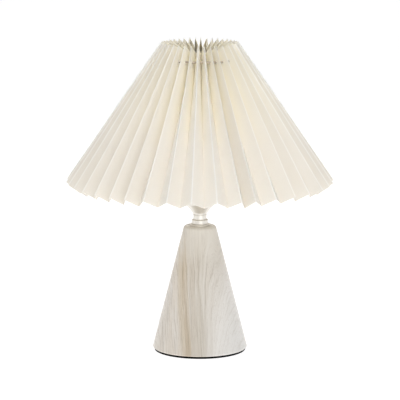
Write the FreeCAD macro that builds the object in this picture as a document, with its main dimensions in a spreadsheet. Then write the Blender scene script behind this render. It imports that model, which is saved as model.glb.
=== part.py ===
import FreeCAD
import Part

import math
import os

import Sketcher
from FreeCAD import Placement, Rotation, Vector

# Table lamp with a pleated paper shade on a turned wooden cone.
# Millimetres. Z is the lamp's axis, the origin is the centre of the foot, +Y is the rear.

SIZES = {
    # foot, wooden cone and what hangs under it
    "foot_radius": 62.0,
    "foot_thickness": 3.0,
    "cone_foot_radius": 64.5,
    "cone_top_radius": 21.5,
    "cone_top_z": 171.5,
    "cone_top_round": 5.0,
    "cone_foot_round": 1.6,
    "recess_radius": 46.0,
    "recess_top_z": 25.0,
    "rod_radius": 5.0,
    "rod_bore": 3.9,
    "rod_low_z": 8.5,
    "rod_high_z": 198.0,
    "rod_hole": 5.3,
    "thread_play": 0.02,
    "weight_radius": 44.0,
    "weight_thickness": 8.0,
    "rod_washer_radius": 11.0,
    "rod_washer_thickness": 1.5,
    "rod_nut_flats": 17.0,
    "rod_nut_thickness": 4.5,
    # rear outlet in the cone's wall
    "inlet_z": 13.0,
    "inlet_radius": 3.2,
    "grommet_radius": 5.0,
    "grommet_flange": 7.5,
    "grommet_flange_thickness": 1.5,
    "grommet_inner_y": 48.0,
    "seat_y": 60.0,
    "seat_radius": 8.0,
    # polished neck
    "washer_radius": 13.5,
    "washer_thickness": 2.2,
    "collar_radius": 11.0,
    "collar_edge": 0.7,
    "collar_thickness": 6.0,
    "neck_radius": 9.0,
    "neck_wall": 1.2,
    "neck_length": 7.9,
    "cup_foot_radius": 9.8,
    "cup_band": 0.6,
    "cup_flare_rise": 13.7,
    "cup_flare_radius": 46.0,
    "cup_radius": 22.5,
    "cup_depth": 26.4,
    "cup_wall": 0.9,
    "cup_rim": 0.7,
    # lampholder
    "boss_radius": 7.6,
    "boss_height": 8.2,
    "holder_radius": 18.5,
    "holder_dome_rise": 7.0,
    "holder_body": 11.0,
    "holder_thread_radius": 17.6,
    "holder_thread_length": 6.0,
    "holder_wall": 1.6,
    "holder_floor": 2.5,
    "insert_radius": 15.9,
    "insert_low_rise": 18.2,
    "insert_thickness": 9.6,
    "skirt_foot_radius": 20.5,
    "flange_radius": 23.2,
    "flange_thickness": 3.0,
    "skirt_radius": 19.75,
    "skirt_length": 23.6,
    "socket_radius": 13.18,
    "socket_wall": 0.42,
    "socket_drop": 1.0,
    "grub_radius": 1.5,
    "grub_rise": 4.4,
    "grub_hole_reach": 1.0,
    "clamp_side": 5.0,
    "clamp_height": 6.5,
    "clamp_offset": 9.8,
    "clamp_screw_radius": 1.5,
    "clamp_screw_head": 2.2,
    "clamp_screw_rise": 1.3,
    "clamp_screw_depth": 5.0,
    "tongue_width": 5.0,
    "tongue_thickness": 0.5,
    "tongue_reach": 5.5,
    "tongue_rise": 1.3,
    # shade frame
    "fitter_bore": 20.25,
    "fitter_radius": 30.0,
    "fitter_thickness": 1.5,
    "nut_bore": 19.83,
    "nut_radius": 26.0,
    "nut_height": 8.0,
    "nut_edge": 1.0,
    "nut_grips": 18,
    "nut_grip_radius": 1.6,
    "nut_grip_offset": 0.53,
    "arm_radius": 1.2,
    "arm_overlap": 3.0,
    "arm_foot": 41.0,
    "arm_bend": 8.0,
    "ring_radius": 54.0,
    "ring_wire": 1.2,
    "ring_z": 399.4,
    # paper shade: one long strip, folded, its folds in planes through the axis
    "shade_low_radius": 181.0,
    "shade_low_z": 233.3,
    "shade_high_radius": 52.2,
    "shade_high_z": 421.0,
    "panel_width": 21.7,
    "paper": 0.5,
    "shade_rows": 6,
    "punch_radius": 1.8,
    "punch_sides": 8,
    "punch_share": 0.8,
    # bulb
    "bulb_foot_z": 217.9,
    "bulb_contact_radius": 4.8,
    "bulb_contact_height": 1.2,
    "bulb_insulator_height": 5.2,
    "bulb_insulator_radius": 11.0,
    "bulb_cap_radius": 13.1,
    "bulb_cap_wall": 0.5,
    "bulb_cap_edge": 1.0,
    "bulb_contact_margin": 1.0,
    "bulb_sleeve": 6.0,
    "bulb_shoulder": 2.0,
    "bulb_seat_gap": 0.5,
    "bulb_neck_radius": 14.5,
    "bulb_housing_height": 36.0,
    "bulb_housing_wall": 1.4,
    "bulb_housing_curve": 160.0,
    "bulb_radius": 30.0,
    "bulb_sink": 16.0,
    "bulb_wall": 1.2,
}

# The azimuth of each outer fold in degrees, at the shade's foot and at its top. Those that
# face the front are measured, and the rest are spread as unevenly as hand-set pleats are.
FOLDS = (
    (-139.6, -141.5), (-130.6, -131.8), (-122.7, -122.7), (-113.9, -113.0), (-103.8, -102.6),
    (-93.5, -92.6), (-82.8, -83.7), (-72.6, -74.4), (-66.4, -65.6), (-56.8, -54.8),
    (-46.5, -43.5), (-37.3, -34.5), (-26.0, -25.0), (-17.0, -16.0), (-8.3, -7.4),
    (0.7, 1.4), (10.1, 10.4), (18.1, 18.7), (27.0, 27.4), (35.9, 36.2),
    (44.0, 44.5), (53.4, 53.5), (62.3, 62.3), (71.4, 71.1), (79.1, 79.2),
    (88.2, 88.1), (96.6, 96.6), (106.6, 105.8), (115.2, 114.4), (122.9, 122.6),
    (133.2, 132.0), (142.0, 140.7), (150.3, 149.1), (159.0, 157.8), (167.1, 166.1),
    (175.7, 174.7), (185.3, 183.8), (193.3, 192.1), (202.3, 200.9), (211.2, 209.6),
)
ARM_FOLDS = (12, 26, 39)  # the outer folds that the three frame arms stand in

doc = FreeCAD.newDocument("pleated_lamp")
sheet = doc.addObject("Spreadsheet::Sheet", "sizes")
for row, (alias, amount) in enumerate(SIZES.items(), start=1):
    sheet.set("A%d" % row, alias)
    sheet.set("B%d" % row, str(amount))
    sheet.setAlias("B%d" % row, alias)
for row, (foot, top) in enumerate(FOLDS, start=1):
    sheet.set("D%d" % row, str(foot))
    sheet.set("E%d" % row, str(top))
doc.recompute()

# Heights that several pieces share, each worked out in the sheet from the sizes above.
LEVELS = {
    "collar_z": "cone_top_z + washer_thickness",
    "neck_z": "collar_z + collar_thickness",
    "cup_z": "neck_z + neck_length",
    "boss_z": "cup_z + cup_wall",
    "dome_z": "boss_z + boss_height",
    "holder_z": "dome_z + holder_dome_rise",
    "holder_thread_z": "holder_z + holder_body",
    "flange_z": "holder_thread_z + holder_thread_length - flange_thickness",
    "fitter_z": "flange_z + flange_thickness",
    "nut_z": "fitter_z + fitter_thickness",
    "skirt_top_z": "fitter_z + skirt_length",
    "insert_z": "boss_z + insert_low_rise",
    "insert_top_z": "insert_z + insert_thickness",
    "bulb_insulator_z": "bulb_foot_z + bulb_contact_height",
    "bulb_cap_z": "bulb_insulator_z + bulb_insulator_height",
    "bulb_housing_z": "skirt_top_z + bulb_seat_gap",
    "bulb_globe_z": "bulb_housing_z + bulb_housing_height",
    "bulb_rim_radius": "sqrt(bulb_radius ^ 2 - bulb_sink ^ 2)",
    "bulb_top_z": "bulb_globe_z + bulb_sink + bulb_radius",
}
for row, alias in enumerate(LEVELS, start=len(SIZES) + 1):
    sheet.setAlias("B%d" % row, alias)
for row, (alias, formula) in enumerate(LEVELS.items(), start=len(SIZES) + 1):
    sheet.set("A%d" % row, alias)
    sheet.set("B%d" % row, "=" + formula)
doc.recompute()


def size(alias):
    """One cell of the sheet, as a number."""
    return float(getattr(sheet, alias))


def inSheet(expression):
    """An expression over the sheet's own names, as an object outside the sheet writes it."""
    words = ""
    name = ""
    for mark in expression + " ":
        if mark.isalnum() or mark == "_":
            name += mark
            continue
        words += "sizes." + name if name in SIZES or name in LEVELS else name
        words += mark
        name = ""
    return words.strip()


def bind(thing, prop, expression):
    thing.setExpression(prop, inSheet(expression))


def value(expression):
    found = sheet.evalExpression(inSheet(expression).replace("sizes.", ""))
    return float(found)


def named(thing, label):
    thing.Label = label
    return thing


def originPlane(body, role):
    return next(f for f in body.Origin.OriginFeatures if f.Role == role)


def planeSketch(body, role, name):
    sketch = body.newObject("Sketcher::SketchObject", name)
    sketch.AttachmentSupport = [(originPlane(body, role), "")]
    sketch.MapMode = "FlatFace"
    return sketch


def arcThrough(start, end, radius):
    """The arc of a radius from start to end; a positive radius turns left along the way."""
    chord = end - start
    half = chord.Length / 2
    across = Vector(-chord.y, chord.x, 0).normalize()
    drop = math.sqrt(radius * radius - half * half)
    side = 1 if radius > 0 else -1
    centre = start + chord / 2 + across * drop * side
    middle = centre - across * abs(radius) * side
    return Part.Arc(start, middle, end)


def outline(sketch, corners):
    """A closed outline. Each corner is (x, y) or (x, y, radius of the arc to the next corner)."""
    points = [Vector(value(c[0]), value(c[1]), 0) for c in corners]
    count = len(corners)
    edges = []
    for i, corner in enumerate(corners):
        start = points[i]
        end = points[(i + 1) % count]
        if len(corner) == 3:
            edges.append(sketch.addGeometry(arcThrough(start, end, value(corner[2])), False))
        else:
            edges.append(sketch.addGeometry(Part.LineSegment(start, end), False))
    ends = []
    for i, corner in enumerate(corners):
        turnsLeft = len(corner) == 2 or value(corner[2]) > 0
        ends.append((1, 2) if turnsLeft else (2, 1))
    for i in range(count):
        after = (i + 1) % count
        sketch.addConstraint(
            Sketcher.Constraint("Coincident", edges[i], ends[i][1], edges[after], ends[after][0])
        )
    for i, corner in enumerate(corners):
        for kind, axis in (("DistanceX", 0), ("DistanceY", 1)):
            place = points[i][axis]
            held = Sketcher.Constraint(kind, -1, 1, edges[i], ends[i][0], place)
            index = sketch.addConstraint(held)
            bind(sketch, "Constraints[%d]" % index, corner[axis])
        if len(corner) == 3:
            radius = abs(value(corner[2]))
            index = sketch.addConstraint(Sketcher.Constraint("Radius", edges[i], radius))
            bind(sketch, "Constraints[%d]" % index, corner[2].lstrip("-"))
    return sketch


def turned(label, corners):
    """A body turned about Z from a closed outline of radius and height."""
    body = named(doc.addObject("PartDesign::Body", label), label)
    sketch = outline(planeSketch(body, "XZ_Plane", label + "_outline"), corners)
    sweep = body.newObject("PartDesign::Revolution", label + "_turning")
    sweep.Profile = sketch
    sweep.ReferenceAxis = (sketch, ["V_Axis"])
    sweep.Angle = 360
    body.Tip = sweep
    doc.recompute()
    return body


def ringProfile(inner, outer, low, high):
    return [(inner, low), (outer, low), (outer, high), (inner, high)]


def edgesAt(shape, radius, height):
    """Names of the round edges of a radius at a height."""
    found = []
    for i, edge in enumerate(shape.Edges, start=1):
        curve = edge.Curve
        if not isinstance(curve, Part.Circle):
            continue
        if abs(curve.Radius - radius) < 0.01 and abs(curve.Center.z - height) < 0.01:
            found.append("Edge%d" % i)
    return found


def rounded(body, name, radius, height, fillet):
    """Round a body's edge, found by its radius and height."""
    before = body.Tip
    edges = edgesAt(before.Shape, value(radius), value(height))
    feature = body.newObject("PartDesign::Fillet", name)
    feature.Base = (before, edges)
    bind(feature, "Radius", fillet)
    body.Tip = feature
    doc.recompute()
    return feature


def pocketed(body, sketch, name):
    """Cut a sketch through to the rear, and see that it did cut."""
    before = body.Tip.Shape.Volume
    pocket = body.newObject("PartDesign::Pocket", name)
    pocket.Profile = sketch
    pocket.Type = "ThroughAll"
    body.Tip = pocket
    doc.recompute()
    assert pocket.Shape.Volume < before - 1
    return pocket


def circleSketch(sketch, x, y, radius):
    centre = Vector(value(x), value(y), 0)
    disc = sketch.addGeometry(Part.Circle(centre, Vector(0, 0, 1), value(radius)), False)
    for kind, place in (("DistanceX", x), ("DistanceY", y)):
        held = Sketcher.Constraint(kind, -1, 1, disc, 3, value(place))
        bind(sketch, "Constraints[%d]" % sketch.addConstraint(held), place)
    held = Sketcher.Constraint("Radius", disc, value(radius))
    bind(sketch, "Constraints[%d]" % sketch.addConstraint(held), radius)
    return sketch


def cylinder(name, radius, height, x="0", y="0", z="0"):
    solid = doc.addObject("Part::Cylinder", name)
    bind(solid, "Radius", radius)
    bind(solid, "Height", height)
    bind(solid, "Placement.Base.x", x)
    bind(solid, "Placement.Base.y", y)
    bind(solid, "Placement.Base.z", z)
    return solid


def cut(label, base, tool):
    result = named(doc.addObject("Part::Cut", label), label)
    result.Base = base
    result.Tool = tool
    return result


def fuse(label, solids):
    result = named(doc.addObject("Part::MultiFuse", label), label)
    result.Shapes = solids
    return result


def group(label, solids):
    result = named(doc.addObject("Part::Compound", label), label)
    result.Links = solids
    return result


# ---- foot and wooden cone ----

def footPad():
    return [turned("foot_pad", ringProfile("0", "foot_radius", "0", "foot_thickness"))]


def baseCone():
    corners = [
        ("recess_radius", "foot_thickness"),
        ("cone_foot_radius", "foot_thickness"),
        ("cone_top_radius", "cone_top_z"),
        ("rod_hole", "cone_top_z"),
        ("rod_hole", "recess_top_z"),
        ("recess_radius", "recess_top_z"),
    ]
    body = turned("base_cone", corners)
    rounded(body, "cone_shoulder", "cone_top_radius", "cone_top_z", "cone_top_round")
    rounded(body, "cone_foot_edge", "cone_foot_radius", "foot_thickness", "cone_foot_round")
    way = circleSketch(
        planeSketch(body, "XZ_Plane", "inlet_way"), "0", "inlet_z", "grommet_radius"
    )
    pocketed(body, way, "inlet_hole")
    seat = planeSketch(body, "XZ_Plane", "inlet_seat")
    bind(seat, "AttachmentOffset.Base.z", "-seat_y")
    circleSketch(seat, "0", "inlet_z", "seat_radius")
    pocketed(body, seat, "inlet_spot_face")
    return [body]


def cordGrommet():
    sleeve = "grommet_radius - thread_play"
    depth = "seat_y - grommet_inner_y"
    corners = [
        ("inlet_radius", "0"),
        (sleeve, "0"),
        (sleeve, depth),
        ("grommet_flange", depth),
        ("grommet_flange", depth + " + grommet_flange_thickness"),
        ("inlet_radius", depth + " + grommet_flange_thickness"),
    ]
    body = turned("cord_grommet", corners)
    body.Placement = Placement(
        Vector(0, size("grommet_inner_y"), size("inlet_z")), Rotation(Vector(1, 0, 0), -90)
    )
    return [body]


def underside():
    """Weight, washer and nut on the lower end of the threaded rod."""
    weight_z = "recess_top_z - weight_thickness"
    washer_z = weight_z + " - rod_washer_thickness"
    nut_z = washer_z + " - rod_nut_thickness"
    weight = turned("base_weight", ringProfile("rod_hole", "weight_radius", weight_z, "recess_top_z"))
    washer = turned("rod_washer", ringProfile("rod_hole", "rod_washer_radius", washer_z, weight_z))
    hexagon = doc.addObject("Part::Prism", "rod_nut_hexagon")
    hexagon.Polygon = 6
    bind(hexagon, "Circumradius", "rod_nut_flats / sqrt(3)")
    bind(hexagon, "Height", "rod_nut_thickness")
    bind(hexagon, "Placement.Base.z", nut_z)
    bore = cylinder("rod_nut_bore", "rod_radius + thread_play", "rod_nut_thickness", z=nut_z)
    return [weight, washer, cut("rod_nut", hexagon, bore)]


def threadedRod():
    return [turned("threaded_rod", ringProfile("rod_bore", "rod_radius", "rod_low_z", "rod_high_z"))]


# ---- polished neck ----

def neck():
    washer = turned(
        "neck_washer", ringProfile("rod_hole", "washer_radius", "cone_top_z", "collar_z")
    )
    collar = turned("neck_collar", [
        ("rod_hole", "collar_z"),
        ("collar_radius", "collar_z"),
        ("collar_radius", "neck_z - collar_edge"),
        ("collar_radius - collar_edge", "neck_z"),
        ("rod_hole", "neck_z"),
    ])
    tube = turned("neck_tube", ringProfile("neck_radius - neck_wall", "neck_radius", "neck_z", "cup_z"))
    return [washer, collar, tube]


def lampholderCup():
    """A trumpet-shaped cup with a straight upper wall and a beaded rim."""
    band_z = "cup_z + cup_band"
    flare_z = band_z + " + cup_flare_rise"
    rim_z = "cup_z + cup_depth"
    inner_foot = "cup_foot_radius - cup_wall"
    inner = "cup_radius - cup_wall"
    inner_band_z = band_z + " + cup_wall / 2"
    inner_flare_z = flare_z + " + cup_wall / 2"
    corners = [
        ("rod_hole", "cup_z"),
        ("cup_foot_radius", "cup_z"),
        ("cup_foot_radius", band_z, "-cup_flare_radius"),
        ("cup_radius", flare_z),
        ("cup_radius", rim_z + " - 2 * cup_rim"),
        ("cup_radius + cup_rim", rim_z + " - cup_rim"),
        ("cup_radius", rim_z),
        (inner, rim_z),
        (inner, inner_flare_z, "cup_flare_radius"),
        (inner_foot, inner_band_z),
        (inner_foot, "boss_z"),
        ("rod_hole", "boss_z"),
    ]
    return [turned("lampholder_cup", corners)]


# ---- lampholder ----

def holderCap():
    inner = "holder_thread_radius - holder_wall"
    corners = [
        ("rod_radius + thread_play", "boss_z"),
        ("boss_radius", "boss_z"),
        ("boss_radius", "dome_z"),
        ("holder_radius", "holder_z"),
        ("holder_radius", "holder_thread_z"),
        ("holder_thread_radius", "holder_thread_z"),
        ("holder_thread_radius", "fitter_z"),
        (inner, "fitter_z"),
        (inner, "insert_z"),
        ("boss_radius", "dome_z + holder_floor"),
        ("rod_radius + thread_play", "dome_z + holder_floor"),
    ]
    body = turned("holder_cap", corners)
    hole = cylinder("grub_hole", "grub_radius", "boss_radius + grub_hole_reach", z="boss_z + grub_rise")
    hole.Placement.Rotation = Rotation(Vector(0, 1, 0), 90)
    bind(hole, "Placement.Base.x", "0")
    result = cut("holder_cap_drilled", body, hole)
    body.Label = "holder_cap_blank"
    return [named(result, "holder_cap")]


def grubScrew():
    screw = cylinder(
        "holder_grub_screw", "grub_radius - thread_play", "boss_radius - rod_radius",
        x="rod_radius", z="boss_z + grub_rise",
    )
    screw.Placement.Rotation = Rotation(Vector(0, 1, 0), 90)
    return [named(screw, "holder_grub_screw")]


def holderSkirt():
    thread = "holder_thread_radius + thread_play"
    bore = "socket_radius + socket_wall + thread_play"
    corners = [
        (thread, "holder_thread_z"),
        ("skirt_foot_radius", "holder_thread_z"),
        ("skirt_foot_radius", "flange_z"),
        ("flange_radius", "flange_z"),
        ("flange_radius", "fitter_z"),
        ("skirt_radius", "fitter_z"),
        ("skirt_radius", "skirt_top_z"),
        (bore, "skirt_top_z"),
        (bore, "fitter_z"),
        (thread, "fitter_z"),
    ]
    return [turned("holder_skirt", corners)]


def screwShell():
    outer = "socket_radius + socket_wall"
    return [turned(
        "socket_shell", ringProfile("socket_radius", outer, "insert_top_z", "skirt_top_z - socket_drop")
    )]


def sideBox(name, length, width, height, x, z):
    """A block centred on y = 0, its middle at x."""
    block = doc.addObject("Part::Box", name)
    bind(block, "Length", length)
    bind(block, "Width", width)
    bind(block, "Height", height)
    bind(block, "Placement.Base.x", "%s - (%s) / 2" % (x, length))
    bind(block, "Placement.Base.y", "-(%s) / 2" % width)
    bind(block, "Placement.Base.z", z)
    return block


def terminals():
    """Insulating insert with a pocket each side, a brass clamp in each and a screw in each clamp."""
    blank = cylinder("insert_blank", "insert_radius", "insert_thickness", z="insert_z")
    tools = []
    clamps = []
    screws = []
    floor = "insert_top_z - clamp_height"
    for side, sign in (("left", "-"), ("right", "")):
        x = sign + "clamp_offset"
        room = "clamp_side + 2 * thread_play"
        tools.append(sideBox("pocket_" + side, room, room, "clamp_height", x, floor))
        block = sideBox("block_" + side, "clamp_side", "clamp_side", "clamp_height", x, floor)
        deep = "insert_top_z - clamp_screw_depth"
        hole = cylinder(
            "tapped_" + side, "clamp_screw_radius + thread_play", "clamp_screw_depth", x=x, z=deep
        )
        clamps.append(cut("clamp_" + side, block, hole))
        shank = cylinder("shank_" + side, "clamp_screw_radius", "clamp_screw_depth", x=x, z=deep)
        head = cylinder("head_" + side, "clamp_screw_head", "clamp_screw_rise", x=x, z="insert_top_z")
        screws.append(fuse("screw_" + side, [shank, head]))
    insert = cut("holder_insert", blank, fuse("insert_pockets", tools))
    return [insert, group("terminal_clamps", clamps), group("terminal_screws", screws)]


def centreContact():
    """A brass tongue that lies on the insert and springs up under the bulb's foot."""
    body = named(doc.addObject("PartDesign::Body", "centre_contact"), "centre_contact")
    reach = "tongue_reach"
    top = "insert_top_z + tongue_rise"
    sketch = outline(planeSketch(body, "YZ_Plane", "tongue_side"), [
        ("-2 * " + reach, "insert_top_z"),
        ("-" + reach, "insert_top_z"),
        ("0 - tongue_thickness", top + " - tongue_thickness"),
        (reach, top + " - tongue_thickness"),
        (reach, top),
        ("0 - tongue_thickness", top),
        ("-" + reach, "insert_top_z + tongue_thickness"),
        ("-2 * " + reach, "insert_top_z + tongue_thickness"),
    ])
    pad = body.newObject("PartDesign::Pad", "tongue_strip")
    pad.Profile = sketch
    pad.Midplane = True
    bind(pad, "Length", "tongue_width")
    body.Tip = pad
    doc.recompute()
    return [body]


# ---- shade frame ----

def fitterRing():
    return [turned("fitter_ring", ringProfile("fitter_bore", "fitter_radius", "fitter_z", "nut_z"))]


def shadeNut():
    """The plastic ring that clamps the fitter, with finger grooves round its edge."""
    high = "nut_z + nut_height"
    body = turned("shade_ring_nut", [
        ("nut_bore", "nut_z"),
        ("nut_radius", "nut_z"),
        ("nut_radius", high + " - nut_edge"),
        ("nut_radius - nut_edge", high),
        ("nut_bore", high),
    ])
    before = body.Tip.Shape.Volume
    groove = circleSketch(
        planeSketch(body, "XY_Plane", "finger_groove"),
        "nut_radius + nut_grip_offset", "0", "nut_grip_radius",
    )
    pocket = body.newObject("PartDesign::Pocket", "finger_groove_cut")
    pocket.Profile = groove
    pocket.Type = "ThroughAll"
    pocket.Reversed = True
    body.Tip = pocket
    doc.recompute()
    assert pocket.Shape.Volume < before - 1
    pattern = body.newObject("PartDesign::PolarPattern", "finger_grooves")
    pattern.Originals = [pocket]
    pattern.Axis = (groove, ["N_Axis"])
    pattern.Angle = 360
    bind(pattern, "Occurrences", "nut_grips")
    body.Tip = pattern
    doc.recompute()
    return [body]


def topRing():
    ring = named(doc.addObject("Part::Torus", "shade_top_ring"), "shade_top_ring")
    bind(ring, "Radius1", "ring_radius")
    bind(ring, "Radius2", "ring_wire")
    bind(ring, "Placement.Base.z", "ring_z")
    return [ring]


def frameArm(label, azimuth):
    """A wire from the fitter's edge, out, round a bend and up to the top ring."""
    mid_z = size("fitter_z") + size("fitter_thickness") / 2
    start = Vector(size("fitter_radius") - size("arm_overlap"), 0, mid_z)
    corner = Vector(size("arm_foot"), 0, mid_z)
    end = Vector(size("ring_radius"), 0, size("ring_z"))
    level = Vector(1, 0, 0)
    rise = (end - corner).normalize()
    turn = level.getAngle(rise)
    back = size("arm_bend") * math.tan(turn / 2)
    leave = corner - level * back
    arrive = corner + rise * back
    bisector = (rise - level).normalize()
    middle = corner + bisector * size("arm_bend") * (1 / math.cos(turn / 2) - 1)
    path = Part.Wire([
        Part.LineSegment(start, leave).toShape(),
        Part.Arc(leave, middle, arrive).toShape(),
        Part.LineSegment(arrive, end).toShape(),
    ])
    spine = doc.addObject("Part::Feature", label + "_spine")
    spine.Shape = path
    section = doc.addObject("Part::Circle", label + "_section")
    bind(section, "Radius", "arm_radius")
    section.Placement = Placement(start, Rotation(Vector(0, 1, 0), 90))
    wire = doc.addObject("Part::Sweep", label + "_wire")
    wire.Sections = [section]
    wire.Spine = (spine, ["Edge1", "Edge2", "Edge3"])
    wire.Solid = True
    wire.Frenet = False
    ring = doc.addObject("Part::Torus", label + "_ring_seat")
    bind(ring, "Radius1", "ring_radius")
    bind(ring, "Radius2", "ring_wire + thread_play")
    bind(ring, "Placement.Base.z", "ring_z")
    rim = cylinder(label + "_rim_seat", "fitter_radius", "4 * arm_radius", z="fitter_z - arm_radius")
    arm = cut(label, wire, fuse(label + "_seats", [ring, rim]))
    arm.Placement = Placement(Vector(), Rotation(Vector(0, 0, 1), azimuth))
    return arm


def frameArms():
    ring_share = ringShare()
    arms = []
    for letter, fold in zip("abc", ARM_FOLDS):
        foot, top = foldTurn(fold)
        arms.append(frameArm("frame_arm_" + letter, between(foot, top, ring_share)))
    return arms


# ---- pleated paper shade ----

def between(low, high, share):
    return low + (high - low) * share


def foldTurn(fold):
    """Azimuths of one outer fold in the sheet, at the foot and at the top, in degrees."""
    return float(sheet.get("D%d" % (fold + 1))), float(sheet.get("E%d" % (fold + 1)))


def ringShare():
    """How far up the outer folds the ring's level lies."""
    low = size("shade_low_z")
    return (size("ring_z") - low) / (size("shade_high_z") - low)


def onAxisRay(radius, turn, height):
    return Vector(radius * math.cos(turn), radius * math.sin(turn), height)


def foldTurns(share):
    """Azimuth of each outer fold, and once more the first one after a full turn, in radians."""
    turns = [math.radians(between(*foldTurn(fold), share)) for fold in range(len(FOLDS))]
    return turns + [turns[0] + 2 * math.pi]


def foldPoints(share):
    """The middle of the paper at each fold in turn, outer and inner, at one share of its height.

    Every panel is as wide as the next, so a pleat is deep where the shade is narrow and
    spreads where it is wide. The ends of the strip stand square to its outer folds.
    """
    lean = math.atan2(
        size("shade_low_radius") - size("shade_high_radius"),
        size("shade_high_z") - size("shade_low_z"),
    )
    inward = math.cos(lean)
    radius = between(size("shade_low_radius"), size("shade_high_radius"), share)
    height = between(size("shade_low_z"), size("shade_high_z"), share)
    turns = foldTurns(share)
    points = []
    for here, after in zip(turns, turns[1:]):
        half = (after - here) / 2
        spread = math.tan(half)
        # depth of the inner fold, from the width of the panel that reaches down to it
        a = 1 + (spread * inward) ** 2
        b = radius * spread * spread * inward
        c = (radius * spread) ** 2 - size("panel_width") ** 2
        depth = (b + math.sqrt(b * b - a * c)) / a
        hollow = (radius - depth * inward) / math.cos(half)
        points.append(onAxisRay(radius, here, height))
        points.append(onAxisRay(hollow, here + half, height - depth * math.sin(lean)))
    return points


def paperSkins(share):
    """Corners of the paper's outer and inner skin at each fold, at one share of its height.

    Each corner is a pair: where the panel before the fold ends and where the next one starts.
    They are apart on the side where the fold is sharp, and meet on the side it closes on.
    """
    points = foldPoints(share)
    rises = [top - foot for foot, top in zip(foldPoints(0), foldPoints(1))]
    skin = size("paper") / 2
    outer = []
    inner = []
    for fold, (here, rise) in enumerate(zip(points, rises)):
        following = points[(fold + 1) % len(points)]
        before = (here - points[fold - 1]).cross(rise).normalize()
        after = (following - here).cross(rise).normalize()
        mitre = (before + after) * (skin / (1 + before.dot(after)))
        if fold % 2 == 0:
            outer.append((here + before * skin, here + after * skin))
            inner.append((here - mitre, here - mitre))
        else:
            outer.append((here + mitre, here + mitre))
            inner.append((here - before * skin, here - after * skin))
    return outer, inner


def facet(*corners):
    return Part.Face(Part.makePolygon(list(corners) + [corners[0]]))


def facetPair(a, b, c, d):
    """Two flat facets for four corners that don't lie in one plane."""
    return [facet(a, b, c), facet(a, c, d)]


def skinFacets(low, high):
    """The facets of one skin between two levels."""
    facets = []
    for fold in range(len(low)):
        after = (fold + 1) % len(low)
        facets += facetPair(low[fold][1], low[after][0], high[after][0], high[fold][1])
        if (low[fold][0] - low[fold][1]).Length > size("thread_play"):
            facets += facetPair(low[fold][0], low[fold][1], high[fold][1], high[fold][0])
    return facets


def edgeFacets(outer, inner):
    """The facets of the paper's cut edge, along one end of the strip."""
    facets = []
    for fold in range(len(outer)):
        after = (fold + 1) % len(outer)
        facets += facetPair(outer[fold][1], outer[after][0], inner[after][0], inner[fold][1])
        if fold % 2 == 0:
            facets.append(facet(outer[fold][0], outer[fold][1], inner[fold][0]))
        else:
            facets.append(facet(inner[fold][0], inner[fold][1], outer[fold][0]))
    return facets


def punchTool(turn, pitch):
    """A bar along the ring where it crosses one hollow between two outer folds."""
    length = size("ring_radius") * pitch * size("punch_share")
    sides = int(size("punch_sides"))
    corners = []
    for k in range(sides + 1):
        angle = 2 * math.pi * (k + 0.5) / sides
        out = size("ring_radius") + size("punch_radius") * math.cos(angle)
        up = size("ring_z") + size("punch_radius") * math.sin(angle)
        corners.append(Vector(out, -length / 2, up))
    bar = Part.Face(Part.makePolygon(corners)).extrude(Vector(0, length, 0))
    bar.rotate(Vector(), Vector(0, 0, 1), math.degrees(turn))
    return bar


def pleatedShade():
    rows = int(size("shade_rows"))
    levels = [paperSkins(row / rows) for row in range(rows + 1)]
    facets = []
    for low, high in zip(levels, levels[1:]):
        facets += skinFacets(low[0], high[0]) + skinFacets(low[1], high[1])
    facets += edgeFacets(*levels[0]) + edgeFacets(*levels[-1])
    sewn = Part.Compound(facets)
    sewn.sewShape()
    solid = Part.makeSolid(sewn.Shells[0])
    if solid.Volume < 0:
        solid.reverse()
    turns = foldTurns(ringShare())
    punches = [punchTool((a + b) / 2, b - a) for a, b in zip(turns, turns[1:])]
    punched = solid.cut(Part.Compound(punches))
    shade = doc.addObject("Part::Feature", "pleated_shade")
    shade.Shape = punched.Solids[0]
    return [named(shade, "pleated_shade")]


# ---- bulb ----

def bulb():
    cap_inner = "bulb_cap_radius - bulb_cap_wall"
    cap_foot = "bulb_cap_z + bulb_cap_edge"
    contact = turned("bulb_contact", ringProfile(
        "0", "bulb_contact_radius", "bulb_foot_z", "bulb_insulator_z"
    ))
    insulator = turned("bulb_insulator", [
        ("0", "bulb_insulator_z"),
        ("bulb_contact_radius + bulb_contact_margin", "bulb_insulator_z"),
        ("bulb_insulator_radius", "bulb_cap_z"),
        (cap_inner, cap_foot),
        (cap_inner, cap_foot + " + bulb_cap_edge"),
        ("0", cap_foot + " + bulb_cap_edge"),
    ])
    cap = turned("bulb_screw_cap", ringProfile(
        cap_inner, "bulb_cap_radius", cap_foot, "bulb_housing_z"
    ))
    sleeve_radius = cap_inner + " - thread_play"
    sleeve_foot = "bulb_housing_z - bulb_sleeve"
    neck_inner = cap_inner + " - bulb_housing_wall"
    rim_inner = "bulb_rim_radius - bulb_housing_wall"
    housing = turned("bulb_housing", [
        (neck_inner, sleeve_foot),
        (sleeve_radius, sleeve_foot),
        (sleeve_radius, "bulb_housing_z"),
        ("bulb_neck_radius", "bulb_housing_z", "-bulb_housing_curve"),
        ("bulb_rim_radius", "bulb_globe_z"),
        (rim_inner, "bulb_globe_z", "bulb_housing_curve"),
        (neck_inner, "bulb_housing_z + bulb_shoulder"),
    ])
    inner = "bulb_radius - bulb_wall"
    globe = turned("bulb_globe", [
        ("bulb_rim_radius", "bulb_globe_z", "bulb_radius"),
        ("0", "bulb_top_z"),
        ("0", "bulb_top_z - bulb_wall", "-(" + inner + ")"),
        ("sqrt((" + inner + ") ^ 2 - bulb_sink ^ 2)", "bulb_globe_z"),
    ])
    return [contact, insulator, cap, housing, globe]


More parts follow.
